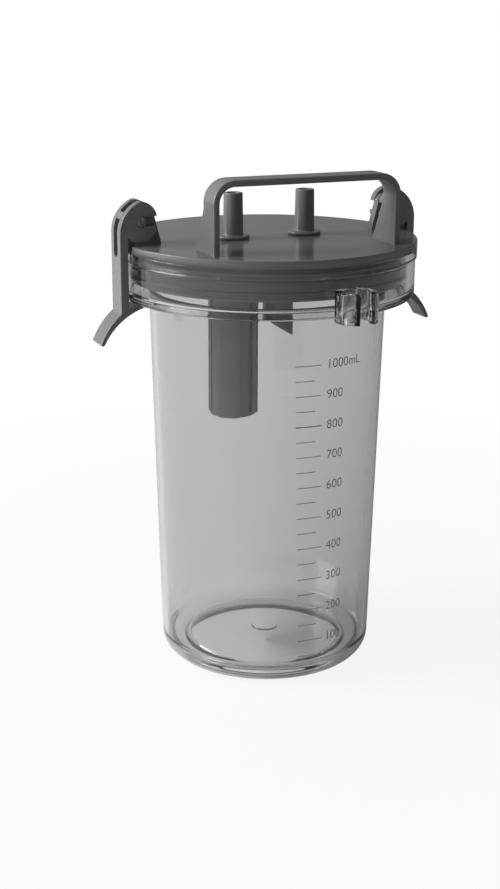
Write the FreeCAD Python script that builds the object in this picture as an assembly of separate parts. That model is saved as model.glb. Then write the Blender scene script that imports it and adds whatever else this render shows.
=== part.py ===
import FreeCAD, Part
import math
import os

V = FreeCAD.Vector

# Jar, one clear moulding
jar_foot_radius = 47.9
jar_taper = 0.025
jar_wall = 2.3
jar_floor = 3.2
jar_corner = 9.5
foot_ring_width = 4.0
foot_recess = 0.8
gate_radius = 6.0
gate_depth = 0.7
jar_height = 190.2
collar_height = 21.5
collar_step = 12.5
collar_wall = 3.1
collar_corner = 2.3
collar_shelf = 2.8
rim_step = 0.7
rim_height = 4.7
rim_edge = 0.5

# Hose clip on the collar
clip_azimuth = -84.0
clip_radius = 8.8
clip_bore = 5.4
clip_mouth = 6.8
clip_height = 12.5
clip_edge = 0.5

# Lid
lid_thickness = 3.4
lid_edge = 0.5
spigot_gap = 1.9
spigot_wall = 3.4
spigot_depth = 14.2
spigot_edge = 0.8
lid_corner = 2.0

# Sealing ring on the spigot
seal_groove = 1.6
seal_top_land = 2.6
seal_bottom_land = 1.4
seal_wall = 2.1
seal_rib_gap = 0.15
seal_rib_height = 1.5
seal_rib_pitch = 4.5
seal_rib_drop = 6.2
seal_ribs = 2
seal_clearance = 0.05

# Latches and their ears
pivot_inset = 6.3
pivot_rise = 9.9
trunnion_radius = 2.35
trunnion_fit = 0.08
ear_thickness = 4.0
ear_foot_inset = 9.9
ear_top_inset = 5.8
ear_rise = 5.9
ear_inner_round = 4.5
ear_outer_round = 5.5
ear_gap = 0.5
latch_width = 12.0
latch_gap = 1.0
latch_thickness = 3.5
latch_edge = 0.4
latch_side_gap = 0.4
latch_play = 0.4
trunnion_inset = 0.1
jaw_drop = 6.3
jaw_bulge = 3.5
lip_reach = 6.7
lip_drop = 3.2
nose_reach = 6.5
nose_rise = 2.9
nose_bulge = 1.6
head_rise = 8.5
head_offset = 0.8
head_drop = 5.5
head_bulge = 2.6
mouth_above = 2.3
mouth_below = 1.9
bridge_radius = 7.5
bridge_start = 8.0
bridge_end = 30.0
latch_slot_drop = 12.5
hook_reach = 7.5
hook_nose = 1.0
hook_slope = 1.0
kink_drop = 3.1
lever_reach = 9.3
lever_fall = 12.7
lever_bulge = 1.0
lever_under_bulge = 2.5
lever_tip = 1.9
notch_depth = 3.2
notch_clearance = 0.4

# Carrying handle
handle_span = 85.0
handle_lean = 0.8
handle_rise = 30.2
handle_thickness = 2.8
handle_width = 11.5
handle_bend = 9.5
crease_lift = 0.2
handle_front = -42.5
foot_width = 20.2
foot_kink_drop = 2.9
foot_blend = 3.0
handle_edge = 0.7
tongue_width = 14.0
tongue_thickness = 1.7
tongue_fit = 0.1

# Hose ports
port_spacing = 34.0
port_setback = -1.5
port_rise = 19.8
port_root_radius = 4.45
port_tip_radius = 4.1
port_bore = 2.5
port_lip = 0.5
flange_radius = 7.15
flange_thickness = 1.6
tail_radius = 5.0
tail_drop = 6.0
tail_fit = 0.05
oring_section = 0.7
oring_squeeze = 0.03

# Float cage under the vacuum port
cage_radius = 10.2
cage_wall = 1.5
cage_drop = 74.2
cage_corner = 1.2
cage_slot = 2.2
cage_slot_floor = 1.5
cage_slot_top = 10.0
cage_count = 3
cage_first_pad = 0.0
pad_rise = 0.9
pad_width = 9.5
pad_top = 6.0
cap_thickness = 1.4
cap_hole = 3.0
cap_fit = 0.05

# Float
float_clearance = 0.4
float_length = 44.0
float_rest = 0.3
float_edge = 1.5
float_neck_radius = 2.5
float_neck = 3.0
float_seal_radius = 5.5
float_seal_thickness = 2.4
float_seal_edge = 0.6

# Inlet deflector under the patient port
drop_offset = 11.7
drop_setback = 1.5
drop_radius = 6.8
drop_wall = 1.5
drop_low = 41.8
drop_slope = 34.0
box_radius = 7.8
box_wall = 1.6
box_height = 13.0

# Levels and radii that follow from the sizes above
collar_bottom = jar_height - collar_height
shoulder_radius = jar_foot_radius + jar_taper * collar_bottom
collar_radius = shoulder_radius + collar_step
collar_bore = collar_radius - collar_wall
rim_radius = collar_radius + rim_step
spigot_radius = collar_bore - spigot_gap
shelf_top = collar_bottom + collar_shelf
lid_under = jar_height
lid_top = lid_under + lid_thickness
latch_inner = rim_radius + latch_gap
pivot_height = lid_top + pivot_rise
pivot_radius = latch_inner - pivot_inset
latch_outer = latch_inner + latch_thickness
hook_top = collar_bottom - latch_play
tail_end = lid_under - tail_drop
cage_bottom = lid_under - cage_drop
cage_bore = cage_radius - cage_wall
cap_top = cage_bottom + cap_thickness
float_bottom = cap_top + float_rest
float_top = float_bottom + float_length
drop_bottom = lid_under - drop_low
handle_top = lid_top + handle_rise
handle_crease = handle_top - handle_bend + crease_lift
foot_kink = handle_crease - foot_kink_drop


# plane corner: the two ends and the middle of the arc that rounds it
def corner_arc(before, here, after, radius):
    if radius == 0:
        return here, here, here
    to_before = (before - here).normalize()
    to_after = (after - here).normalize()
    half = to_before.getAngle(to_after) / 2
    bisector = (to_before + to_after).normalize()
    reach = radius / math.tan(half)
    middle = here + bisector * (radius / math.sin(half) - radius)
    return here + to_before * reach, middle, here + to_after * reach


# flat face in the X-Z plane from corners given as across, up and radius
def rounded_face(corners):
    places = [V(across, 0, up) for across, up, radius in corners]
    count = len(corners)
    arcs = []
    for index in range(count):
        after = places[(index + 1) % count]
        arcs.append(corner_arc(places[index - 1], places[index], after, corners[index][2]))
    edges = []
    for index in range(count):
        start, middle, end = arcs[index]
        following = arcs[(index + 1) % count][0]
        if corners[index][2] > 0:
            edges.append(Part.Arc(start, middle, end).toShape())
        edges.append(Part.makeLine(end, following))
    return Part.Face(Part.Wire(edges))


# edge in the X-Z plane from start to end, bulging to its left
def bowed_edge(start, end, bulge):
    if bulge == 0:
        return Part.makeLine(start, end)
    along = (end - start).normalize()
    left = V(-along.z, 0, along.x)
    middle = (start + end) * 0.5 + left * bulge
    return Part.Arc(start, middle, end).toShape()


# flat face in the X-Z plane from points, each with the bulge of the edge that follows
def bowed_face(points):
    edges = []
    for index in range(len(points)):
        across, up, bulge = points[index]
        next_across, next_up, next_bulge = points[(index + 1) % len(points)]
        edges.append(bowed_edge(V(across, 0, up), V(next_across, 0, next_up), bulge))
    return Part.Face(Part.Wire(edges))


# solid of revolution about the vertical line through a point
def turned(corners, centre=V(0, 0, 0)):
    solid = rounded_face(corners).revolve(V(0, 0, 0), V(0, 0, 1), 360)
    solid.translate(centre)
    return solid


# flat face turned into a plate centred on the X-Z plane
def plate(face, width):
    solid = face.extrude(V(0, width, 0))
    solid.translate(V(0, -width / 2, 0))
    return solid


def disc(radius, bottom, top, centre=V(0, 0, 0)):
    return Part.makeCylinder(radius, top - bottom, V(centre.x, centre.y, bottom))


# box from its centre line in plan and its lowest and highest levels
def block(length, width, bottom, top, centre=V(0, 0, 0)):
    corner = V(centre.x - length / 2, centre.y - width / 2, bottom)
    return Part.makeBox(length, width, top - bottom, corner)


def about_z(solid, angle, centre=V(0, 0, 0)):
    copy = solid.copy()
    copy.rotate(centre, V(0, 0, 1), angle)
    return copy


def port_place(side):
    return V(side * port_spacing / 2, port_setback, 0)


def wall_radius(height):
    return jar_foot_radius + jar_taper * height


# open C that holds a hose beside the collar, mouth outwards
def hose_clip():
    centre = V(collar_radius + clip_bore + (clip_radius - clip_bore) / 2, 0, 0)
    top = collar_bottom + clip_height
    ring = disc(clip_radius, collar_bottom, top, centre)
    rounded = ring.makeFillet(clip_edge, [edge for edge in ring.Edges if edge.Closed])
    ring = rounded.cut(disc(clip_bore, collar_bottom, top, centre))
    mouth_centre = centre + V(clip_radius, 0, 0)
    mouth = block(2 * clip_radius, clip_mouth, collar_bottom, top, mouth_centre)
    return about_z(ring.cut(mouth), clip_azimuth)


def make_jar():
    foot_inner = wall_radius(0) - jar_corner - foot_ring_width
    rim_bottom = jar_height - rim_height
    throat = wall_radius(shelf_top) - jar_wall
    floor_radius = wall_radius(jar_floor) - jar_wall
    body = turned([
        (0, foot_recess, 0),
        (foot_inner - foot_recess, foot_recess, 0),
        (foot_inner, 0, 0),
        (wall_radius(0), 0, jar_corner),
        (shoulder_radius, collar_bottom, 0),
        (collar_radius, collar_bottom, collar_corner),
        (collar_radius, rim_bottom, 0),
        (rim_radius, rim_bottom + rim_edge, rim_edge),
        (rim_radius, jar_height, 0),
        (collar_bore + rim_edge, jar_height, 0),
        (collar_bore, jar_height - rim_edge, 0),
        (collar_bore, shelf_top, collar_corner),
        (throat, shelf_top, rim_edge),
        (floor_radius, jar_floor, jar_corner - jar_wall),
        (0, jar_floor, 0),
    ])
    gate = disc(gate_radius, foot_recess, foot_recess + gate_depth)
    return body.fuse(hose_clip()).cut(gate).removeSplitter()


# one plate on the lid that carries a latch, with its two stub axles
def latch_ear():
    outer = latch_inner - ear_gap
    top = pivot_height + ear_rise
    profile = rounded_face([
        (pivot_radius - ear_foot_inset, lid_under, 0),
        (pivot_radius - ear_foot_inset, lid_top, 0),
        (pivot_radius - ear_top_inset, top, ear_inner_round),
        (outer, top, ear_outer_round),
        (outer, lid_under, 0),
    ])
    length = latch_width - 2 * trunnion_inset
    start = V(pivot_radius, -length / 2, pivot_height)
    axle = Part.makeCylinder(trunnion_radius, length, start, V(0, 1, 0))
    return plate(profile, ear_thickness).fuse(axle)


# gap in the lid's edge that the latch stands in
def latch_notch():
    width = latch_width + 2 * notch_clearance
    centre = V(rim_radius, 0, 0)
    return block(2 * notch_depth, width, lid_under, lid_top, centre)


def tongue(side, clearance):
    centre = V(side * (handle_span - handle_thickness) / 2, handle_front + foot_width / 2, 0)
    length = tongue_thickness + 2 * clearance
    width = tongue_width + 2 * clearance
    return block(length, width, lid_under, lid_top, centre)


def make_lid():
    groove_top = lid_under - seal_top_land
    groove_bottom = lid_under - spigot_depth + seal_bottom_land
    spigot_bottom = lid_under - spigot_depth
    spigot_bore = spigot_radius - spigot_wall
    lid = turned([
        (0, lid_under, 0),
        (spigot_bore, lid_under, lid_corner),
        (spigot_bore, spigot_bottom, 0),
        (spigot_radius, spigot_bottom, spigot_edge),
        (spigot_radius, groove_bottom, 0),
        (spigot_radius - seal_groove, groove_bottom, 0),
        (spigot_radius - seal_groove, groove_top, 0),
        (spigot_radius, groove_top, 0),
        (spigot_radius, lid_under, 0),
        (rim_radius, lid_under, 0),
        (rim_radius, lid_top, lid_edge),
        (0, lid_top, 0),
    ])
    for turn in (0, 180):
        lid = lid.cut(about_z(latch_notch(), turn))
        lid = lid.fuse(about_z(latch_ear(), turn))
    for side in (-1, 1):
        centre = port_place(side)
        lid = lid.cut(disc(tail_radius + tail_fit, lid_under, lid_top, centre))
        recess_radius = tail_radius + 2 * oring_section + tail_fit
        lid = lid.cut(disc(recess_radius, lid_top - 2 * oring_section, lid_top, centre))
        lid = lid.cut(tongue(side, tongue_fit))
    return lid.removeSplitter()


# ribbed rubber sleeve round the spigot
def make_seal_ring():
    inner = spigot_radius - seal_groove + seal_clearance
    outer = inner + seal_wall
    top = lid_under - seal_top_land - seal_clearance
    bottom = lid_under - spigot_depth + seal_bottom_land + seal_clearance
    corners = [(inner, bottom, 0), (inner, top, 0), (outer, top, 0)]
    for number in range(seal_ribs):
        middle = lid_under - seal_rib_drop - number * seal_rib_pitch
        half = seal_rib_height / 2
        corners.append((outer, middle + half, 0))
        corners.append((collar_bore - seal_rib_gap, middle + half / 2, half / 3))
        corners.append((collar_bore - seal_rib_gap, middle - half / 2, half / 3))
        corners.append((outer, middle - half, 0))
    corners.append((outer, bottom, 0))
    return turned(corners)


# side view of a latch: plate, claw round the axle, hook and lever
def latch_outline():
    kink = hook_top - kink_drop
    tip_out = latch_outer + lever_reach
    tip_up = kink - lever_fall
    hook_tip = latch_inner - hook_reach
    return bowed_face([
        (latch_inner, hook_top - hook_slope, 0),
        (latch_inner, pivot_height - jaw_drop, jaw_bulge),
        (pivot_radius - lip_reach, pivot_height - lip_drop, 0),
        (pivot_radius - nose_reach, pivot_height + nose_rise, nose_bulge),
        (pivot_radius + head_offset, pivot_height + head_rise, head_bulge),
        (latch_outer, pivot_height - head_drop, 0),
        (latch_outer, kink, lever_bulge),
        (tip_out, tip_up, lever_tip / 3),
        (tip_out - lever_tip, tip_up, -lever_under_bulge),
        (hook_tip, hook_top - hook_nose, 0),
        (hook_tip, hook_top, 0),
    ])


# strap that joins the two cheeks of a latch behind the ear
def latch_bridge(width):
    reach = 2 * bridge_radius
    start = V(pivot_radius, -width / 2, pivot_height)
    ring = Part.makeCylinder(reach, width, start, V(0, 1, 0))
    hole = Part.makeCylinder(bridge_radius, width, start, V(0, 1, 0))
    low = math.radians(bridge_start)
    high = math.radians(bridge_end)
    far = 2 * reach
    wedge = bowed_face([
        (pivot_radius, pivot_height, 0),
        (pivot_radius + far * math.cos(low), pivot_height + far * math.sin(low), 0),
        (pivot_radius + far * math.cos(high), pivot_height + far * math.sin(high), 0),
    ])
    return ring.cut(hole).common(plate(wedge, width))


# space between the cheeks, with a round lower end and the bridge left standing
def latch_slot():
    width = ear_thickness + 2 * latch_side_gap
    bottom = pivot_height - latch_slot_drop
    top = pivot_height + 2 * head_rise
    inside = pivot_radius - 2 * nose_reach
    length = latch_outer + latch_thickness - inside
    centre = V(inside + length / 2, 0, 0)
    slot = block(length, width, bottom, top, centre)
    end = Part.makeCylinder(width / 2, length, V(inside, 0, bottom), V(1, 0, 0))
    return slot.fuse(end).cut(latch_bridge(width))


def make_latch():
    body = plate(latch_outline(), latch_width)
    rims = []
    for edge in body.Edges:
        box = edge.BoundBox
        if box.YLength < latch_edge and box.XMax > latch_outer - latch_edge and edge.Length > 2 * lever_tip:
            rims.append(edge)
    body = body.makeFillet(latch_edge, rims)
    length = 2 * latch_width
    start = V(pivot_radius, -length / 2, pivot_height)
    bore = Part.makeCylinder(trunnion_radius + trunnion_fit, length, start, V(0, 1, 0))
    mouth_length = 2 * nose_reach
    mouth_centre = V(pivot_radius - mouth_length / 2, 0, 0)
    low = pivot_height - mouth_below
    high = pivot_height + mouth_above
    mouth = block(mouth_length, length, low, high, mouth_centre)
    return body.cut(latch_slot()).cut(bore).cut(mouth).removeSplitter()


# flat strip bent to a wide arch, seen from the front, with a crease where each bend starts
def handle_strip():
    foot = handle_span / 2
    shoulder = foot - handle_lean
    inner_foot = foot - handle_thickness
    inner_shoulder = shoulder - handle_thickness
    inner_top = handle_top - handle_thickness
    inner_bend = handle_bend - handle_thickness
    face = rounded_face([
        (-foot, lid_top, 0),
        (-foot, handle_crease, 0),
        (-shoulder, handle_top, handle_bend),
        (shoulder, handle_top, handle_bend),
        (foot, handle_crease, 0),
        (foot, lid_top, 0),
        (inner_foot, lid_top, 0),
        (inner_foot, handle_crease, 0),
        (inner_shoulder, inner_top, inner_bend),
        (-inner_shoulder, inner_top, inner_bend),
        (-inner_foot, handle_crease, 0),
        (-inner_foot, lid_top, 0),
    ])
    return plate(face, 4 * foot_width)


# end view of the handle: straight front edge, and feet that spread backwards
def handle_side():
    shape = rounded_face([
        (0, lid_top, 0),
        (0, handle_top, 0),
        (handle_width, handle_top, 0),
        (handle_width, foot_kink, foot_blend),
        (foot_width, lid_top, 0),
    ])
    return about_z(plate(shape, 2 * handle_span), 90)


def make_handle():
    bar = handle_strip().common(handle_side())
    rims = []
    for edge in bar.Edges:
        if max(edge.BoundBox.XLength, edge.BoundBox.ZLength) > 2 * handle_thickness:
            rims.append(edge)
    bar = bar.makeFillet(handle_edge, rims)
    bar.translate(V(0, handle_front, 0))
    for side in (-1, 1):
        bar = bar.fuse(tongue(side, 0))
    return bar.removeSplitter()


# straight hose tube with a seat flange and a threaded tail below the lid
def make_port(side):
    top = lid_top + port_rise
    flange_top = lid_top + flange_thickness
    return turned([
        (port_bore, tail_end, 0),
        (tail_radius, tail_end, port_lip),
        (tail_radius, lid_top, 0),
        (flange_radius, lid_top, 0),
        (flange_radius, flange_top, port_lip),
        (port_root_radius, flange_top, port_lip),
        (port_tip_radius, top, port_lip),
        (port_bore, top, port_lip),
    ], port_place(side))


def make_port_oring(side):
    ring_radius = tail_radius + oring_section
    centre = port_place(side) + V(0, 0, lid_top - oring_section)
    return Part.makeTorus(ring_radius, oring_section - oring_squeeze, centre)


# one raised pad down the outside of the cage
def cage_pad():
    outer = cage_radius + pad_rise
    top = lid_under - pad_top
    tube = disc(outer, cage_bottom, top).cut(disc(cage_radius - pad_rise, cage_bottom, top))
    return tube.common(block(2 * outer, pad_width, cage_bottom, top, V(outer, 0, 0)))


def cage_slot_cut():
    bottom = cage_bottom + cage_slot_floor
    top = lid_under - cage_slot_top
    return block(2 * cage_radius, cage_slot, bottom, top, V(-cage_radius, 0, 0))


# slotted tube that guides the float, screwed on the vacuum port's tail
def make_float_cage():
    cage = turned([
        (cage_bore, cage_bottom, 0),
        (cage_radius, cage_bottom, 0),
        (cage_radius, lid_under, 0),
        (tail_radius + tail_fit, lid_under, 0),
        (tail_radius + tail_fit, tail_end, 0),
        (cage_bore, tail_end, cage_corner),
    ])
    for number in range(cage_count):
        turn = cage_first_pad + number * 360 / cage_count
        cage = cage.fuse(about_z(cage_pad(), turn))
    for number in range(cage_count):
        turn = cage_first_pad + number * 360 / cage_count
        cage = cage.cut(about_z(cage_slot_cut(), turn))
    cage.translate(port_place(-1))
    return cage.removeSplitter()


# ring pressed into the cage's lower end, which the float rests on
def make_cage_cap():
    return turned([
        (cap_hole, cage_bottom, 0),
        (cage_bore - cap_fit, cage_bottom, 0),
        (cage_bore - cap_fit, cap_top, 0),
        (cap_hole, cap_top, 0),
    ], port_place(-1))


def make_float():
    radius = cage_bore - float_clearance
    neck_top = float_top + float_neck
    return turned([
        (0, float_bottom, 0),
        (radius, float_bottom, float_edge),
        (radius, float_top, float_edge),
        (float_neck_radius, float_top, 0),
        (float_neck_radius, neck_top, 0),
        (0, neck_top, 0),
    ], port_place(-1))


# rubber cap on the float's neck, which closes the vacuum port
def make_float_seal():
    bore = float_neck_radius + cap_fit
    bottom = float_top + cap_fit
    under = float_top + float_neck + cap_fit
    top = under + float_seal_thickness
    return turned([
        (0, under, 0),
        (bore, under, 0),
        (bore, bottom, 0),
        (float_seal_radius, bottom, float_seal_edge),
        (float_seal_radius, top, float_seal_edge),
        (0, top, 0),
    ], port_place(-1))


# plan shape that joins two circles, as a solid between two levels
def joined_discs(first, second, first_radius, second_radius, bottom, top):
    across = (second - first).normalize()
    side = V(-across.y, across.x, 0)
    corners = [
        first + side * first_radius,
        second + side * second_radius,
        second - side * second_radius,
        first - side * first_radius,
    ]
    outline = [V(corner.x, corner.y, bottom) for corner in corners]
    middle = Part.Face(Part.makePolygon(outline + [outline[0]])).extrude(V(0, 0, top - bottom))
    first_end = disc(first_radius, bottom, top, first)
    return middle.fuse(first_end).fuse(disc(second_radius, bottom, top, second))


# everything under a plane that slopes down towards the patient port
def sloping_cut(centre):
    size = 4 * drop_radius
    rise = 2 * drop_radius * math.tan(math.radians(drop_slope))
    low = drop_bottom - size
    wedge = bowed_face([
        (-size, low, 0),
        (-size, drop_bottom + rise * (size + drop_radius) / (2 * drop_radius), 0),
        (size, drop_bottom - rise * (size - drop_radius) / (2 * drop_radius), 0),
        (size, low, 0),
    ])
    cut = plate(wedge, size)
    cut.translate(V(centre.x, centre.y, 0))
    return cut


# hollow elbow that turns the inlet stream down a side tube, away from the float
def make_inlet_deflector():
    port = port_place(1)
    drop = V(port.x - drop_offset, port.y + drop_setback, 0)
    box_bottom = lid_under - box_height
    shell = joined_discs(port, drop, box_radius, drop_radius, box_bottom, lid_under)
    inside_bottom = box_bottom + box_wall
    inside_top = lid_under - box_wall
    port_inside = box_radius - box_wall
    drop_inside = drop_radius - drop_wall
    hollow = joined_discs(port, drop, port_inside, drop_inside, inside_bottom, inside_top)
    high_bottom = drop_bottom - drop_radius
    tube = disc(drop_radius, high_bottom, inside_bottom, drop)
    bore = disc(drop_inside, high_bottom, inside_top, drop)
    solid = shell.fuse(tube).cut(hollow).cut(bore)
    solid = solid.cut(disc(tail_radius + tail_fit, inside_bottom, lid_under, port))
    return solid.cut(sloping_cut(drop)).removeSplitter()


def save(name, shape):
    shape.exportStep("parts/" + name + ".step")
    print(name, round(shape.Volume), shape.isValid(), len(shape.Solids))


os.makedirs("parts", exist_ok=True)
latch = make_latch()
save("jar", make_jar())
save("lid", make_lid())
save("seal_ring", make_seal_ring())
save("handle", make_handle())
save("vacuum_port", make_port(-1))
save("patient_port", make_port(1))
save("vacuum_port_o_ring", make_port_oring(-1))
save("patient_port_o_ring", make_port_oring(1))
save("float_cage", make_float_cage())
save("cage_cap", make_cage_cap())
save("float", make_float())
save("float_seal", make_float_seal())
save("inlet_deflector", make_inlet_deflector())
save("right_latch", latch)
save("left_latch", about_z(latch, 180))
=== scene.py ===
import bpy
import bmesh
import math
from mathutils import Vector, Matrix


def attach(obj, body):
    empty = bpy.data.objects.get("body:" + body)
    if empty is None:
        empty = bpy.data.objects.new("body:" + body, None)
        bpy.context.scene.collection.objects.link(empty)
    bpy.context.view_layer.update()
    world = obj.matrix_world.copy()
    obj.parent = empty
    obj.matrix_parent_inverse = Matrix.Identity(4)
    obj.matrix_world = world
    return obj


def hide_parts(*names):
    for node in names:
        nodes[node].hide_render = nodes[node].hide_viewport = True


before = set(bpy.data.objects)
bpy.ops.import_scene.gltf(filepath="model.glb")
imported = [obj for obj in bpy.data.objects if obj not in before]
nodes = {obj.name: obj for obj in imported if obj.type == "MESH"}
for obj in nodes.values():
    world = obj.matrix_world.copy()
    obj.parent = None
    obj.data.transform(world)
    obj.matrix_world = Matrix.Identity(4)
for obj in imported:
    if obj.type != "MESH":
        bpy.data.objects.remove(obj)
scene = bpy.context.scene
collection = scene.collection
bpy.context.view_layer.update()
mm = 0.001
print("frame loaded:", len(nodes), "nodes")


# camera, at the photograph's angle, placed in metres
cameraView = {
    "place": (-0.2626, -0.5898, 0.2953),
    "turn": 23.355,   # degrees from +Y towards +X
    "tilt": 17.007,   # degrees below the horizon
    "roll": 0.267,
    "lens": 59.84,
    "sensor": 36,
    "nearest": 0.01,
}


def makeCamera(view):
    turn, tilt, roll = (math.radians(view[key]) for key in ("turn", "tilt", "roll"))
    forward = Vector((math.sin(turn) * math.cos(tilt), math.cos(turn) * math.cos(tilt), -math.sin(tilt)))
    right = Vector((math.cos(turn), -math.sin(turn), 0))
    up = right.cross(forward)
    right, up = right * math.cos(roll) + up * math.sin(roll), up * math.cos(roll) - right * math.sin(roll)
    data = bpy.data.cameras.new("camera")
    data.lens = view["lens"]
    data.sensor_width = view["sensor"]
    data.clip_start = view["nearest"]
    camera = bpy.data.objects.new("camera", data)
    collection.objects.link(camera)
    columns = Matrix((right, up, -forward)).transposed().to_4x4()
    camera.matrix_world = Matrix.Translation(Vector(view["place"])) @ columns
    scene.camera = camera


makeCamera(cameraView)
scene.view_settings.view_transform = "Standard"
print("camera set")


# node helpers
def calculated(tree, operation, *values):
    node = tree.nodes.new("ShaderNodeMath")
    node.operation = operation
    for index, value in enumerate(values):
        if isinstance(value, bpy.types.NodeSocket):
            tree.links.new(value, node.inputs[index])
        else:
            node.inputs[index].default_value = value
    return node.outputs["Value"]


def mapped(tree, source, fromMin, fromMax, toMin, toMax):
    ramp = tree.nodes.new("ShaderNodeMapRange")
    labels = ("From Min", "From Max", "To Min", "To Max")
    for label, value in zip(labels, (fromMin, fromMax, toMin, toMax)):
        ramp.inputs[label].default_value = value
    tree.links.new(source, ramp.inputs["Value"])
    return ramp.outputs["Result"]


# materials
plasticLook = {
    "drift": (28, 3),             # scale and detail of the noise behind the colour drift
    "driftShade": (0.93, 1.07),
    "gloss": (60, 4),
    "grainDetail": 2,
    "grainDepth": 0.00006,
    "ior": 1.5,
    "noiseReach": (0.3, 0.7),     # a noise keeps mostly between these two values
}


def newMaterial(name):
    material = bpy.data.materials.new(name)
    material.use_nodes = True
    tree = material.node_tree
    shader = tree.nodes["Principled BSDF"]
    return material, tree, shader


def objectNoise(tree, scale, detail, stretch=(1, 1, 1)):
    coordinates = tree.nodes.new("ShaderNodeTexCoord")
    mapping = tree.nodes.new("ShaderNodeMapping")
    mapping.inputs["Scale"].default_value = stretch
    noise = tree.nodes.new("ShaderNodeTexNoise")
    noise.inputs["Scale"].default_value = scale
    noise.inputs["Detail"].default_value = detail
    tree.links.new(coordinates.outputs["Object"], mapping.inputs["Vector"])
    tree.links.new(mapping.outputs["Vector"], noise.inputs["Vector"])
    return noise


# a noise, widened to run from low to high
def spread(tree, noise, low, high):
    return mapped(tree, noise.outputs["Fac"], *plasticLook["noiseReach"], low, high)


# bump from a noise's height
def bumped(tree, noise, strength, depth, shader):
    bump = tree.nodes.new("ShaderNodeBump")
    bump.inputs["Strength"].default_value = strength
    bump.inputs["Distance"].default_value = depth
    tree.links.new(noise.outputs["Fac"], bump.inputs["Height"])
    tree.links.new(bump.outputs["Normal"], shader.inputs["Normal"])


# moulded plastic: faint colour drift, uneven gloss and a fine grain in the surface
def mouldedPlastic(name, look):
    material, tree, shader = newMaterial(name)
    drift = objectNoise(tree, *plasticLook["drift"])
    shade = tree.nodes.new("ShaderNodeMix")
    shade.data_type = "RGBA"
    for label, share in zip(("A", "B"), plasticLook["driftShade"]):
        shade.inputs[label].default_value = tuple(value * share for value in look["colour"]) + (1,)
    tree.links.new(spread(tree, drift, 0, 1), shade.inputs["Factor"])
    tree.links.new(shade.outputs["Result"], shader.inputs["Base Color"])
    gloss = objectNoise(tree, *plasticLook["gloss"])
    tree.links.new(spread(tree, gloss, *look["roughness"]), shader.inputs["Roughness"])
    grain = objectNoise(tree, look["grain"], plasticLook["grainDetail"])
    bumped(tree, grain, look["bump"], plasticLook["grainDepth"], shader)
    shader.inputs["IOR"].default_value = plasticLook["ior"]
    return material


# clear plastic: transparent with a grey body tint that deepens along the wall
def clearPlastic(name, look):
    material, tree, shader = newMaterial(name)
    shader.inputs["Base Color"].default_value = look["colour"] + (1,)
    shader.inputs["Transmission Weight"].default_value = 1
    shader.inputs["IOR"].default_value = look["ior"]
    haze = objectNoise(tree, *look["haze"])
    tree.links.new(spread(tree, haze, *look["roughness"]), shader.inputs["Roughness"])
    ripple = objectNoise(tree, *look["ripple"], look["rippleStretch"])
    bumped(tree, ripple, look["bump"], look["rippleDepth"], shader)
    tint = tree.nodes.new("ShaderNodeVolumeAbsorption")
    tint.inputs["Color"].default_value = look["tint"] + (1,)
    tint.inputs["Density"].default_value = look["density"]
    output = tree.nodes["Material Output"]
    tree.links.new(tint.outputs["Volume"], output.inputs["Volume"])
    return material


clearLook = {
    "colour": (0.73, 0.73, 0.733),
    "ior": 1.5,
    "roughness": (0.0, 0.02),
    "haze": (35, 3),
    "ripple": (45, 1),
    "rippleStretch": (1, 1, 0.35),
    "rippleDepth": 0.0002,
    "bump": 0.05,
    "tint": (0.65, 0.648, 0.64),
    "density": 50,
}
greyLook = {"colour": (0.165, 0.17, 0.178), "roughness": (0.24, 0.32), "grain": 1500, "bump": 0.12}
lidLook = {"colour": (0.16, 0.163, 0.168), "roughness": (0.16, 0.22), "grain": 1200, "bump": 0.08}
portLook = {"colour": (0.155, 0.16, 0.167), "roughness": (0.2, 0.27), "grain": 1500, "bump": 0.1}
cageLook = {"colour": (0.17, 0.16, 0.148), "roughness": (0.3, 0.4), "grain": 1100, "bump": 0.15}
floatLook = {"colour": (0.6, 0.6, 0.58), "roughness": (0.35, 0.45), "grain": 900, "bump": 0.1}
rubberLook = {"colour": (0.12, 0.12, 0.122), "roughness": (0.2, 0.28), "grain": 2200, "bump": 0.2}
printLook = {"colour": (0.2, 0.195, 0.19), "roughness": (0.45, 0.6), "grain": 2600, "bump": 0.2}

clearMaterial = clearPlastic("clearJarPlastic", clearLook)
greyMaterial = mouldedPlastic("greyLatchPlastic", greyLook)
lidMaterial = mouldedPlastic("greyLidPlastic", lidLook)
portMaterial = mouldedPlastic("greyPortPlastic", portLook)
cageMaterial = mouldedPlastic("darkCagePlastic", cageLook)
floatMaterial = mouldedPlastic("whiteFloatPlastic", floatLook)
rubberMaterial = mouldedPlastic("sealRubber", rubberLook)
printMaterial = mouldedPlastic("greyScaleInk", printLook)
print("materials made")


# mesh helpers
nearAxis = 1e-9    # in mm
mergeWithin = {"moulding": 1e-7, "solid": 2e-7, "print": 1e-6}    # in metres
sharpFrom = {"moulding": 24, "solid": 28}    # degrees between two faces
faceWeight = 100    # large flat faces keep even shading beside their rounded edges


def meshObject(name, points, faces, material):
    mesh = bpy.data.meshes.new(name)
    mesh.from_pydata([tuple(point) for point in points], [], faces)
    mesh.update()
    piece = bpy.data.objects.new(name, mesh)
    collection.objects.link(piece)
    mesh.materials.append(material)
    return piece


def smoothByAngle(mesh, degrees):
    mesh.polygons.foreach_set("use_smooth", [True] * len(mesh.polygons))
    mesh.set_sharp_from_angle(angle=math.radians(degrees))


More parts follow.
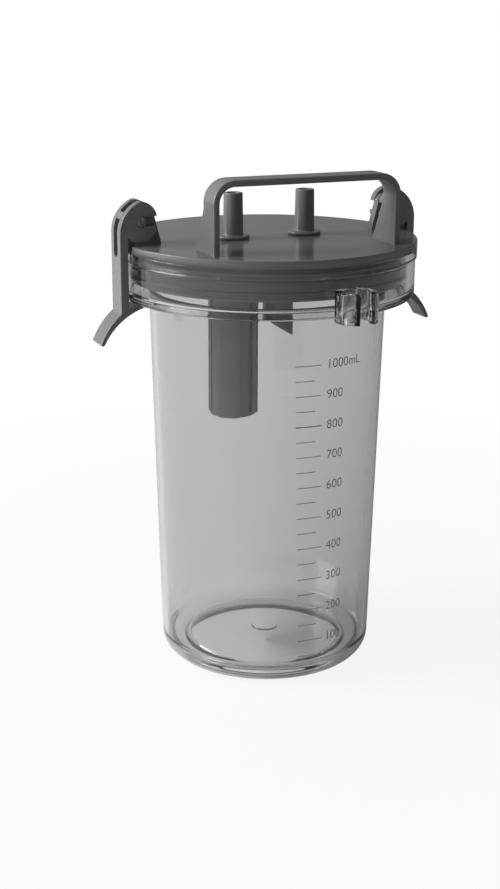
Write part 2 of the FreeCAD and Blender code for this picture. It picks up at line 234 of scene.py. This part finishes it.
# rounds each corner (across, up, radius) of a closed profile
def roundedProfile(corners, steps):
    points = []
    count = len(corners)
    for index, (across, up, radius) in enumerate(corners):
        here = Vector((across, up))
        if radius == 0:
            points.append(here)
            continue
        before = (Vector(corners[index - 1][:2]) - here).normalized()
        after = (Vector(corners[(index + 1) % count][:2]) - here).normalized()
        half = before.angle(after) / 2
        centre = here + (before + after).normalized() * (radius / math.sin(half))
        start = here + before * (radius / math.tan(half)) - centre
        end = here + after * (radius / math.tan(half)) - centre
        turn = start.angle_signed(end)
        for step in range(steps + 1):
            angle = -turn * step / steps
            spoke = Vector((start.x * math.cos(angle) - start.y * math.sin(angle),
                            start.x * math.sin(angle) + start.y * math.cos(angle)))
            points.append(centre + spoke)
    return points


# profile turned about the Z axis; points on the axis become one pole
def lathed(profile, steps):
    points, rings = [], []
    for across, up in profile:
        if abs(across) < nearAxis:
            rings.append([len(points)] * steps)
            points.append((0, 0, up))
            continue
        rings.append(list(range(len(points), len(points) + steps)))
        for step in range(steps):
            angle = 2 * math.pi * step / steps
            points.append((across * math.cos(angle), across * math.sin(angle), up))
    faces = []
    for index in range(len(rings)):
        low, high = rings[index], rings[(index + 1) % len(rings)]
        if low[0] == low[1] and high[0] == high[1]:
            continue
        for step in range(steps):
            after = (step + 1) % steps
            corners = [low[step], low[after], high[after], high[step]]
            face = []
            for corner in corners:
                if corner not in face:
                    face.append(corner)
            faces.append(face)
    return points, faces


# merges a mesh's doubled points and turns its faces outwards
def outward(mesh):
    work = bmesh.new()
    work.from_mesh(mesh)
    bmesh.ops.remove_doubles(work, verts=work.verts, dist=mergeWithin["moulding"])
    bmesh.ops.recalc_face_normals(work, faces=work.faces)
    work.to_mesh(mesh)
    work.free()


# plain mesh of an object with its modifiers applied
def evaluated(piece):
    bpy.context.view_layer.update()
    return bpy.data.meshes.new_from_object(piece.evaluated_get(bpy.context.evaluated_depsgraph_get()))


# finished copy of a CAD node: merged and smoothly shaded, with its edges sharp
def dressed(node, name, body, material):
    mesh = nodes[node].data.copy()
    mesh.name = name
    work = bmesh.new()
    work.from_mesh(mesh)
    bmesh.ops.remove_doubles(work, verts=work.verts, dist=mergeWithin["solid"])
    work.to_mesh(mesh)
    work.free()
    mesh.materials.clear()
    mesh.materials.append(material)
    smoothByAngle(mesh, sharpFrom["solid"])
    piece = bpy.data.objects.new(name, mesh)
    collection.objects.link(piece)
    level = piece.modifiers.new("evenShading", "WEIGHTED_NORMAL")
    level.keep_sharp = True
    level.weight = faceWeight
    piece.data = evaluated(piece)
    piece.modifiers.clear()
    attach(piece, body)
    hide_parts(node)


# jar, in mm from the middle of its foot
jarShape = {
    "footRadius": 47.9, "taper": 0.025, "wall": 2.3, "corner": 9.5,
    "floor": 8.8, "floorCorner": 2.2, "ringWidth": 0.8, "recess": 6.2, "draft": 1.6,
    "recessCorner": 2.0, "ringEdge": 0.4, "gateRadius": 6.0, "gateHeight": 0.5,
    "gateRoot": 0.3, "gateEdge": 0.4, "shoulderEdge": 0.4, "fineEdge": 0.15, "topEdge": 0.2,
    "height": 190.2, "collarHeight": 21.5, "collarStep": 12.5, "collarWall": 3.1,
    "collarCorner": 2.3, "shelf": 2.8, "rimStep": 0.7, "rimHeight": 4.7, "edge": 0.5,
    "clipAzimuth": -84.0, "clipRadius": 8.8, "clipBore": 5.4, "clipMouth": 6.8,
    "clipHeight": 12.5, "clipEdge": 0.5, "clipInnerEdge": 0.2, "clipRaise": 0.02,
    "steps": 288, "cornerSteps": 8, "clipSteps": 72, "clipCornerSteps": 3,
}


# outside radius of the leaning wall
def jarWall(up):
    return jarShape["footRadius"] + jarShape["taper"] * up


# closed section of the jar, from its axis under the floor round to its axis above the floor
def jarProfile(j):
    collarBottom = j["height"] - j["collarHeight"]
    shoulder = jarWall(collarBottom)
    collar = shoulder + j["collarStep"]
    rim = collar + j["rimStep"]
    bore = collar - j["collarWall"]
    shelf = collarBottom + j["shelf"]
    foot = jarWall(0) - j["corner"] - j["ringWidth"]
    rimBottom = j["height"] - j["rimHeight"]
    return [
        (0, j["recess"], 0),
        (foot - j["draft"], j["recess"], j["recessCorner"]),
        (foot, 0, j["ringEdge"]),
        (jarWall(0), 0, j["corner"]),
        (shoulder, collarBottom, j["shoulderEdge"]),
        (collar, collarBottom, j["collarCorner"]),
        (collar, rimBottom, j["fineEdge"]),
        (rim, rimBottom + j["edge"], j["edge"]),
        (rim, j["height"], j["topEdge"]),
        (bore + j["edge"], j["height"], j["fineEdge"]),
        (bore, j["height"] - j["edge"], j["fineEdge"]),
        (bore, shelf, j["collarCorner"]),
        (jarWall(shelf) - j["wall"], shelf, j["edge"]),
        (jarWall(j["floor"]) - j["wall"], j["floor"], j["floorCorner"]),
        (j["gateRadius"], j["floor"], j["gateRoot"]),
        (j["gateRadius"], j["floor"] + j["gateHeight"], j["gateEdge"]),
        (0, j["floor"] + j["gateHeight"], 0),
    ]


# open C beside the collar, with a mouth of parallel sides
def hoseClip(j):
    collarBottom = j["height"] - j["collarHeight"]
    collar = jarWall(collarBottom) + j["collarStep"]
    middle = collar + j["clipBore"] + (j["clipRadius"] - j["clipBore"]) / 2
    outer, inner, edge, innerEdge = j["clipRadius"], j["clipBore"], j["clipEdge"], j["clipInnerEdge"]
    low, high = collarBottom + j["clipRaise"], collarBottom + j["clipHeight"]
    corners = [(inner, low, innerEdge), (outer, low, edge), (outer, high, edge), (inner, high, innerEdge)]
    ring = roundedProfile(corners, j["clipCornerSteps"])
    steps = j["clipSteps"]
    points, faces = [], []
    for step in range(steps + 1):
        for across, up in ring:
            half = math.asin(j["clipMouth"] / 2 / across)
            angle = half + (2 * math.pi - 2 * half) * step / steps
            points.append((middle + across * math.cos(angle), across * math.sin(angle), up))
    size = len(ring)
    for step in range(steps):
        for index in range(size):
            after = (index + 1) % size
            first, second = step * size, (step + 1) * size
            faces.append([first + index, first + after, second + after, second + index])
    faces.append(list(range(size)))
    faces.append(list(range(steps * size, (steps + 1) * size))[::-1])
    turn = Matrix.Rotation(math.radians(j["clipAzimuth"]), 3, "Z")
    return [turn @ Vector(point) for point in points], faces


def makeJar():
    profile = roundedProfile(jarProfile(jarShape), jarShape["cornerSteps"])
    points, faces = lathed(profile, jarShape["steps"])
    jar = meshObject("jarMoulding", [Vector(point) * mm for point in points], faces, clearMaterial)
    outward(jar.data)
    points, faces = hoseClip(jarShape)
    clip = meshObject("hoseClip", [point * mm for point in points], faces, clearMaterial)
    outward(clip.data)
    union = jar.modifiers.new("clip", "BOOLEAN")
    union.operation = "UNION"
    union.solver = "EXACT"
    union.object = clip
    result = evaluated(jar)
    jar.modifiers.clear()
    jar.data = result
    bpy.data.objects.remove(clip)
    smoothByAngle(jar.data, sharpFrom["moulding"])
    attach(jar, "jar_and_lid")
    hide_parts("jar")


makeJar()
print("jar made")


# printed scale, in mm and degrees round the jar
scaleShape = {
    "zeroLevel": 5.9, "last": 20, "stepVolume": 50, "startAngle": -100.8, "startTop": 147.0,
    "lean": 0.0352, "longTick": 11.6, "shortTick": 8.8, "thick": 0.3, "heavyTick": 16,
    "heavier": 1.6, "proud": 0.04, "ink": 0.03, "numberTurn": 16.0, "numberHeight": 4.15,
    "numberThin": -0.03, "capitalShare": 0.72, "curveSteps": 5, "pieces": 12,
}
cubicMm = 1000    # in one mL


# height at which the jar holds a volume, from its inside radius
def levelOf(volume):
    j = jarShape
    base = jarWall(scaleShape["zeroLevel"]) - j["wall"]
    cube = base ** 3 + 3 * j["taper"] * volume * cubicMm / math.pi
    return (cube ** (1 / 3) - jarWall(0) + j["wall"]) / j["taper"]


# flat print laid round the jar: across is mm along the wall from the start angle
def wrapped(across, up, startAngle, lift):
    radius = jarWall(up) + lift
    angle = math.radians(startAngle) + across / radius
    return Vector((radius * math.cos(angle), radius * math.sin(angle), up)) * mm


# the ticks' left ends lean a little round the jar
def tickStart(up):
    return scaleShape["startAngle"] + (scaleShape["startTop"] - up) * scaleShape["lean"]


# level of each tick, from the volume below it and the jar's taper
def tickLevel(tree, number, given):
    volume = calculated(tree, "MULTIPLY", number, given["Step Volume"])
    slope = calculated(tree, "MULTIPLY", given["Taper"], 3 * cubicMm / math.pi)
    base = calculated(tree, "POWER", given["Zero Radius"], 3)
    cube = calculated(tree, "ADD", calculated(tree, "MULTIPLY", volume, slope), base)
    radius = calculated(tree, "POWER", cube, 1 / 3)
    widened = calculated(tree, "SUBTRACT", radius, given["Inner Foot Radius"])
    return calculated(tree, "DIVIDE", widened, given["Taper"])


# lays flat print (across, level, lift) round the leaning jar wall
def laidRound(tree, geometry, given):
    place = tree.nodes.new("GeometryNodeInputPosition")
    parts = tree.nodes.new("ShaderNodeSeparateXYZ")
    tree.links.new(place.outputs["Position"], parts.inputs["Vector"])
    across, up, lift = parts.outputs["X"], parts.outputs["Y"], parts.outputs["Z"]
    wall = calculated(tree, "MULTIPLY_ADD", up, given["Taper"], given["Outer Foot Radius"])
    radius = calculated(tree, "ADD", calculated(tree, "ADD", wall, lift), given["Proud"])
    drop = calculated(tree, "SUBTRACT", given["Start Level"], up)
    start = calculated(tree, "MULTIPLY_ADD", drop, given["Lean"], given["Start Angle"])
    along = calculated(tree, "DIVIDE", across, radius)
    angle = calculated(tree, "ADD", calculated(tree, "RADIANS", start), along)
    joined = tree.nodes.new("ShaderNodeCombineXYZ")
    for label, part in (("X", "COSINE"), ("Y", "SINE")):
        reach = calculated(tree, "MULTIPLY", radius, calculated(tree, part, angle))
        tree.links.new(reach, joined.inputs[label])
    tree.links.new(up, joined.inputs["Z"])
    metres = tree.nodes.new("ShaderNodeVectorMath")
    metres.operation = "SCALE"
    metres.inputs["Scale"].default_value = mm
    tree.links.new(joined.outputs["Vector"], metres.inputs[0])
    move = tree.nodes.new("GeometryNodeSetPosition")
    tree.links.new(geometry, move.inputs["Geometry"])
    tree.links.new(metres.outputs["Vector"], move.inputs["Position"])
    return move.outputs["Geometry"]


# unit bar that starts at x = 0 and z = 0, cut along x so that it bends round the wall
def tickBar(tree):
    bar = tree.nodes.new("GeometryNodeMeshCube")
    bar.inputs["Vertices X"].default_value = scaleShape["pieces"] + 1
    shift = tree.nodes.new("GeometryNodeTransform")
    shift.inputs["Translation"].default_value = (0.5, 0, 0.5)
    tree.links.new(bar.outputs["Mesh"], shift.inputs["Geometry"])
    return shift.outputs["Geometry"]


def tickTree(values):
    tree = bpy.data.node_groups.new("scaleTickLayout", "GeometryNodeTree")
    identifiers = {}
    for label, value in values.items():
        kind = "NodeSocketInt" if isinstance(value, int) else "NodeSocketFloat"
        socket = tree.interface.new_socket(name=label, in_out="INPUT", socket_type=kind)
        identifiers[label] = socket.identifier
    tree.interface.new_socket(name="Geometry", in_out="OUTPUT", socket_type="NodeSocketGeometry")
    given = tree.nodes.new("NodeGroupInput").outputs
    number = calculated(tree, "ADD", tree.nodes.new("GeometryNodeInputIndex").outputs["Index"], 1)
    odd = calculated(tree, "MODULO", number, 2)
    heavy = calculated(tree, "COMPARE", number, given["Heavy Tick"], 0.5)
    shorter = calculated(tree, "SUBTRACT", given["Short Length"], given["Long Length"])
    length = calculated(tree, "MULTIPLY_ADD", odd, shorter, given["Long Length"])
    extra = calculated(tree, "MULTIPLY", calculated(tree, "SUBTRACT", given["Heavier"], 1), heavy)
    thick = calculated(tree, "MULTIPLY", calculated(tree, "ADD", extra, 1), given["Thickness"])
    points = tree.nodes.new("GeometryNodePoints")
    place = tree.nodes.new("ShaderNodeCombineXYZ")
    size = tree.nodes.new("ShaderNodeCombineXYZ")
    tree.links.new(given["Count"], points.inputs["Count"])
    tree.links.new(tickLevel(tree, number, given), place.inputs["Y"])
    tree.links.new(place.outputs["Vector"], points.inputs["Position"])
    tree.links.new(length, size.inputs["X"])
    tree.links.new(thick, size.inputs["Y"])
    tree.links.new(given["Ink"], size.inputs["Z"])
    copies = tree.nodes.new("GeometryNodeInstanceOnPoints")
    tree.links.new(points.outputs["Points"], copies.inputs["Points"])
    tree.links.new(tickBar(tree), copies.inputs["Instance"])
    tree.links.new(size.outputs["Vector"], copies.inputs["Scale"])
    real = tree.nodes.new("GeometryNodeRealizeInstances")
    tree.links.new(copies.outputs["Instances"], real.inputs["Geometry"])
    paint = tree.nodes.new("GeometryNodeSetMaterial")
    paint.inputs["Material"].default_value = printMaterial
    tree.links.new(laidRound(tree, real.outputs["Geometry"], given), paint.inputs["Geometry"])
    output = tree.nodes.new("NodeGroupOutput")
    tree.links.new(paint.outputs["Geometry"], output.inputs["Geometry"])
    return tree, identifiers


# one tick for each step of volume, made with Geometry Nodes
def makeTicks():
    s, j = scaleShape, jarShape
    values = {
        "Count": s["last"], "Heavy Tick": s["heavyTick"], "Step Volume": float(s["stepVolume"]),
        "Long Length": s["longTick"], "Short Length": s["shortTick"], "Thickness": s["thick"],
        "Heavier": s["heavier"], "Ink": s["ink"], "Proud": s["proud"], "Taper": j["taper"],
        "Zero Radius": jarWall(s["zeroLevel"]) - j["wall"], "Inner Foot Radius": j["footRadius"] - j["wall"],
        "Outer Foot Radius": j["footRadius"], "Start Level": s["startTop"],
        "Start Angle": s["startAngle"], "Lean": s["lean"],
    }
    tree, identifiers = tickTree(values)
    ticks = meshObject("scaleTicks", [], [], printMaterial)
    layout = ticks.modifiers.new("layout", "NODES")
    layout.node_group = tree
    for label, value in values.items():
        layout[identifiers[label]] = value
    plain = evaluated(ticks)
    ticks.modifiers.clear()
    ticks.data = plain
    outward(plain)
    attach(ticks, "jar_and_lid")


# the volume beside every second tick
def makeNumbers():
    s = scaleShape
    joined = bmesh.new()
    for index in range(2, s["last"] + 1, 2):
        volume = index * s["stepVolume"]
        words = str(volume) + ("mL" if index == s["last"] else "")
        curve = bpy.data.curves.new("number", "FONT")
        curve.body = words
        curve.size = s["numberHeight"] / s["capitalShare"]
        curve.offset = s["numberThin"]
        curve.align_y = "CENTER"
        curve.resolution_u = s["curveSteps"]
        text = bpy.data.objects.new("number", curve)
        collection.objects.link(text)
        flat = evaluated(text)
        bpy.data.objects.remove(text)
        up = levelOf(volume)
        for vertex in flat.vertices:
            place = vertex.co.copy()
            vertex.co = wrapped(place.x, up + place.y, tickStart(up) + s["numberTurn"], s["proud"] + s["ink"])
        joined.from_mesh(flat)
        bpy.data.meshes.remove(flat)
    bmesh.ops.remove_doubles(joined, verts=joined.verts, dist=mergeWithin["print"])
    mesh = bpy.data.meshes.new("scaleNumbers")
    joined.to_mesh(mesh)
    joined.free()
    mesh.materials.append(printMaterial)
    numbers = bpy.data.objects.new("scaleNumbers", mesh)
    collection.objects.link(numbers)
    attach(numbers, "jar_and_lid")


makeTicks()
makeNumbers()
print("scale printed")


# lid, handle, ports and what hangs under them
dressed("lid", "lidMoulding", "jar_and_lid", lidMaterial)
dressed("seal_ring", "lidSeal", "jar_and_lid", rubberMaterial)
dressed("handle", "carryHandle", "jar_and_lid", lidMaterial)
dressed("vacuum_port", "vacuumTube", "jar_and_lid", portMaterial)
dressed("patient_port", "patientTube", "jar_and_lid", portMaterial)
dressed("vacuum_port_o_ring", "vacuumTubeRing", "jar_and_lid", rubberMaterial)
dressed("patient_port_o_ring", "patientTubeRing", "jar_and_lid", rubberMaterial)
dressed("float_cage", "floatGuide", "jar_and_lid", cageMaterial)
dressed("cage_cap", "floatGuideCap", "jar_and_lid", cageMaterial)
dressed("inlet_deflector", "inletElbow", "jar_and_lid", cageMaterial)
dressed("float", "floatBody", "float_body", floatMaterial)
dressed("float_seal", "floatCap", "float_body", rubberMaterial)
dressed("right_latch", "rightLever", "right_latch_body", greyMaterial)
dressed("left_latch", "leftLever", "left_latch_body", greyMaterial)
print("lid and fittings dressed")


# floor and light, in metres and watts
studio = {
    "floorRadius": 3.0,
    "floorLevel": -0.0002,
    "floorSteps": 64,
    "floorColour": (0.92, 0.92, 0.92, 1),
    "floorRoughness": 0.7,
    "floorShadow": 0.12,   # share of the floor that is lit and shaded
    "shadowFrom": 0.12,    # the lit share fades out between these two distances
    "shadowTo": 0.45,
    "ambient": 0.12,
    "brightSide": (-0.9, 0.15, 0.45),    # the room is bright on this side
    "brightFloor": (-0.9, 0.4, 0),       # and the floor on this one
    "seenThrough": (-0.9, 0.15, 0.5, 1.0),    # how far towards the side, from and to, then how bright
    "mirrored": (-0.4, 0.9, 0.1, 1.0),
    "keyPlace": (-0.8, 0.25, 0.5),
    "keyTarget": (0, 0, 0.15),
    "keySize": (0.5, 0.6),
    "keyPower": 9.5,
    "topPlace": (0.1, 0.1, 0.95),
    "topTarget": (0, 0, 0.2),
    "topSize": (0.6, 0.6),
    "topPower": 0.6,
    "windowPlaces": ((0.26, -1.1, 0.55), (0.38, -1.06, 0.55), (-0.95, -0.5, 0.5)),
    "windowTarget": (0, 0, 0.1),
    "windowSize": (0.04, 0.5),
    "windowPower": 0.25,
}


# what is seen through clear plastic, what is only mirrored, and these two with the camera's own rays
def seenRays(tree):
    path = tree.nodes.new("ShaderNodeLightPath").outputs
    through = path["Is Transmission Ray"]
    mirrored = calculated(tree, "GREATER_THAN", path["Is Glossy Ray"], through)
    direct = calculated(tree, "MAXIMUM", path["Is Camera Ray"], through)
    return through, mirrored, calculated(tree, "MAXIMUM", direct, mirrored)


# how bright the room is towards a side: one value for what is seen through, one for what is mirrored
def roomShade(tree, vector, side):
    through, mirrored, seen = seenRays(tree)
    unit = tree.nodes.new("ShaderNodeVectorMath")
    unit.operation = "NORMALIZE"
    facing = tree.nodes.new("ShaderNodeVectorMath")
    facing.operation = "DOT_PRODUCT"
    facing.inputs[1].default_value = Vector(side).normalized()
    tree.links.new(vector, unit.inputs[0])
    tree.links.new(unit.outputs["Vector"], facing.inputs[0])
    shade = 1.0
    for choice, grade in ((through, studio["seenThrough"]), (mirrored, studio["mirrored"])):
        change = calculated(tree, "SUBTRACT", mapped(tree, facing.outputs["Value"], *grade), 1)
        shade = calculated(tree, "MULTIPLY_ADD", change, choice, shade)
    return shade, seen


# round floor that glows white where it is only seen, and keeps the object's shadow near the middle
def makeFloor():
    steps, radius, level = studio["floorSteps"], studio["floorRadius"], studio["floorLevel"]
    points = [(0, 0, level)]
    for step in range(steps):
        angle = 2 * math.pi * step / steps
        points.append((radius * math.cos(angle), radius * math.sin(angle), level))
    faces = [[0, step + 1, (step + 1) % steps + 1] for step in range(steps)]
    material, tree, shader = newMaterial("paleFloor")
    shader.inputs["Base Color"].default_value = studio["floorColour"]
    shader.inputs["Roughness"].default_value = studio["floorRoughness"]
    glow = tree.nodes.new("ShaderNodeEmission")
    glow.inputs["Color"].default_value = (1, 1, 1, 1)
    coordinates = tree.nodes.new("ShaderNodeTexCoord")
    shade, seen = roomShade(tree, coordinates.outputs["Object"], studio["brightFloor"])
    tree.links.new(shade, glow.inputs["Strength"])
    distance = tree.nodes.new("ShaderNodeVectorMath")
    distance.operation = "LENGTH"
    tree.links.new(coordinates.outputs["Object"], distance.inputs[0])
    near, far = studio["shadowFrom"], studio["shadowTo"]
    fade = mapped(tree, distance.outputs["Value"], near, far, 1 - studio["floorShadow"], 1)
    mix = tree.nodes.new("ShaderNodeMixShader")
    tree.links.new(calculated(tree, "MULTIPLY", seen, fade), mix.inputs["Fac"])
    tree.links.new(shader.outputs["BSDF"], mix.inputs[1])
    tree.links.new(glow.outputs["Emission"], mix.inputs[2])
    tree.links.new(mix.outputs["Shader"], tree.nodes["Material Output"].inputs["Surface"])
    floor = meshObject("paleFloor", points, faces, material)


def areaLight(name, place, target, size, power):
    data = bpy.data.lights.new(name, "AREA")
    data.shape = "RECTANGLE"
    data.size, data.size_y = size
    data.energy = power
    light = bpy.data.objects.new(name, data)
    collection.objects.link(light)
    light.location = place
    light.rotation_mode = "QUATERNION"
    light.rotation_quaternion = (Vector(target) - Vector(place)).to_track_quat("-Z", "Y")


def makeWorld():
    world = bpy.data.worlds.new("studio")
    scene.world = world
    world.use_nodes = True
    tree = world.node_tree
    tree.nodes.clear()
    output = tree.nodes.new("ShaderNodeOutputWorld")
    ambient = tree.nodes.new("ShaderNodeBackground")
    ambient.inputs["Color"].default_value = (1, 1, 1, 1)
    ambient.inputs["Strength"].default_value = studio["ambient"]
    room = tree.nodes.new("ShaderNodeBackground")
    direction = tree.nodes.new("ShaderNodeTexCoord").outputs["Generated"]
    shade, seen = roomShade(tree, direction, studio["brightSide"])
    room.inputs["Color"].default_value = (1, 1, 1, 1)
    tree.links.new(shade, room.inputs["Strength"])
    mix = tree.nodes.new("ShaderNodeMixShader")
    tree.links.new(seen, mix.inputs["Fac"])
    tree.links.new(ambient.outputs["Background"], mix.inputs[1])
    tree.links.new(room.outputs["Background"], mix.inputs[2])
    tree.links.new(mix.outputs["Shader"], output.inputs["Surface"])


makeFloor()
makeWorld()
for kind in ("key", "top"):
    place, target, size, power = (studio[kind + part] for part in ("Place", "Target", "Size", "Power"))
    areaLight(kind + "Light", place, target, size, power)
for number, place in enumerate(studio["windowPlaces"], 1):
    target, size, power = (studio["window" + part] for part in ("Target", "Size", "Power"))
    areaLight(f"windowLight{number}", place, target, size, power)
print("studio set")
